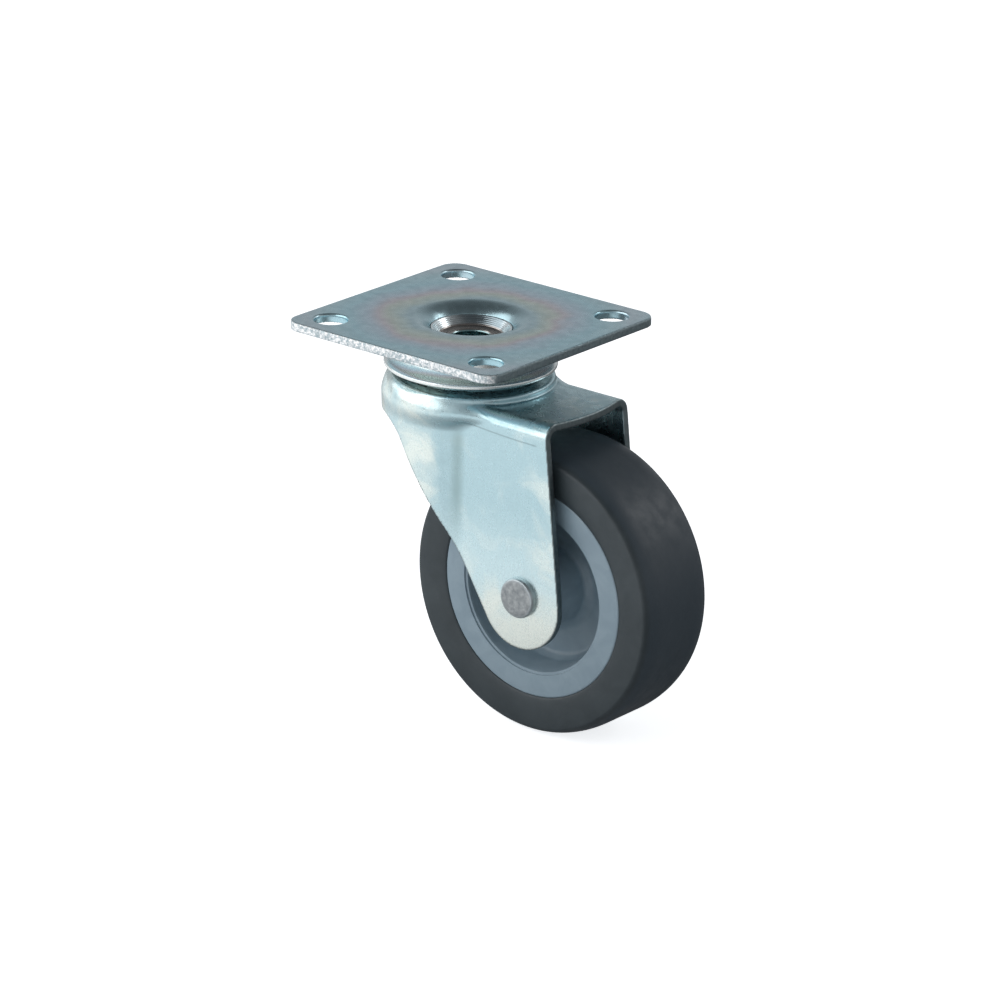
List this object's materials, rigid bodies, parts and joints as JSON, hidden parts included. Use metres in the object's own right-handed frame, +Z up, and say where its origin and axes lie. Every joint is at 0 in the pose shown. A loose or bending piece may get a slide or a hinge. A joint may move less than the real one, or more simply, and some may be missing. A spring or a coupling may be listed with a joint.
{
  "type": "top-plate swivel castor",
  "caption": "Swivel castor: square bolt-on plate, double ball-race head with hollow kingpin, pressed sheet fork, moulded wheel with a soft grey tyre on a riveted axle.",
  "frame": {"origin": "on the swivel axis, at the top face of the plate, which is the centre of the bolt pattern", "axes": "+Z up along the swivel axis, out of the plate's top face; +X from the swivel axis towards the trailing axle; Y along the wheel axle"},
  "size_m": [0.1015, 0.067, 0.1],
  "materials": {
    "plate_zinc": "blue-passivated zinc plate, satin",
    "race_zinc": "bright zinc plate, semi-gloss",
    "pin_steel": "bright turned zinc, glossy",
    "fork_zinc": "blue-passivated zinc plate on pressed sheet, satin",
    "rivet_steel": "grey zinc on a peened end, satin",
    "sleeve_steel": "plain drawn tube",
    "ball_steel": "polished, greased",
    "centre_plastic": "moulded blue-grey plastic, satin",
    "tyre_tread": "anthracite thermoplastic rubber, satin"
  },
  "bodies": {
    "plate": {"top_plate": "plate_zinc", "upper_race_cup": "race_zinc", "kingpin": "pin_steel", "lower_race": "race_zinc"},
    "fork": {"swivel_fork": "fork_zinc", "axle_rivet": "rivet_steel", "axle_sleeve": "sleeve_steel"},
    "wheel": {"wheel_centre": "centre_plastic", "tyre": "tyre_tread"},
    "upper_balls": {"upper_ball_1": "ball_steel", "upper_ball_2": "ball_steel", "upper_ball_3": "ball_steel", "upper_ball_4": "ball_steel", "upper_ball_5": "ball_steel", "upper_ball_6": "ball_steel", "upper_ball_7": "ball_steel", "upper_ball_8": "ball_steel", "upper_ball_9": "ball_steel", "upper_ball_10": "ball_steel", "upper_ball_11": "ball_steel", "upper_ball_12": "ball_steel", "upper_ball_13": "ball_steel", "upper_ball_14": "ball_steel"},
    "lower_balls": {"lower_ball_1": "ball_steel", "lower_ball_2": "ball_steel", "lower_ball_3": "ball_steel", "lower_ball_4": "ball_steel", "lower_ball_5": "ball_steel", "lower_ball_6": "ball_steel", "lower_ball_7": "ball_steel", "lower_ball_8": "ball_steel", "lower_ball_9": "ball_steel", "lower_ball_10": "ball_steel", "lower_ball_11": "ball_steel", "lower_ball_12": "ball_steel"}
  },
  "joints": [
    {"name": "swivel", "type": "hinge", "parent": "plate", "child": "fork", "pos_m": [0, 0, -0.012], "axis": [0, 0, 1], "continuous": true},
    {"name": "wheel_spin", "type": "hinge", "parent": "fork", "child": "wheel", "pos_m": [0.0305, 0, -0.0625], "axis": [0, 1, 0], "continuous": true},
    {"name": "upper_race_roll", "type": "hinge", "parent": "plate", "child": "upper_balls", "pos_m": [0, 0, -0.00645], "axis": [0, 0, 1], "continuous": true},
    {"name": "lower_race_roll", "type": "hinge", "parent": "plate", "child": "lower_balls", "pos_m": [0, 0, -0.01355], "axis": [0, 0, 1], "continuous": true}
  ],
  "couplings": [
    {"joint": "upper_race_roll", "follows": "swivel", "ratio": 0.5},
    {"joint": "lower_race_roll", "follows": "swivel", "ratio": 0.5}
  ]
}
